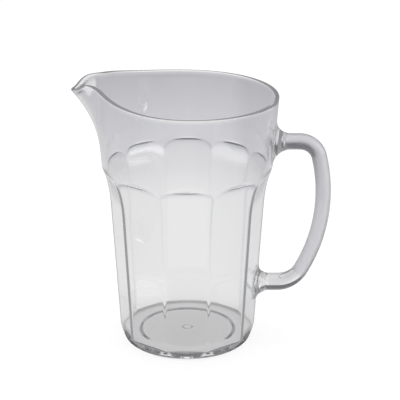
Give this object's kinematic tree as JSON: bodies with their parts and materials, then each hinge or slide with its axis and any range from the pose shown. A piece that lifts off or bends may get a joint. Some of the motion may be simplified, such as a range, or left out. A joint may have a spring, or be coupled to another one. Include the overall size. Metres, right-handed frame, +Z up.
{
  "type": "beer pitcher",
  "caption": "Clear plastic pitcher with flat side panels ending in arches, a round collar with a wide pouring lip, a thick recessed foot and a bent bar handle.",
  "frame": {"origin": "centre of the foot, on the plane that the pitcher stands on", "axes": "+Z up out of the mouth, +X towards the handle, -X towards the pouring lip, +Y across the jug, square to both"},
  "size_m": [0.1999, 0.1398, 0.2112],
  "materials": {
    "clear_plastic": "clear, glossy",
    "handle_plastic": "clear and glossy outside, satin channel inside the grip"
  },
  "bodies": {
    "root": {"jug_body": "clear_plastic", "handle": "handle_plastic"}
  },
  "joints": []
}
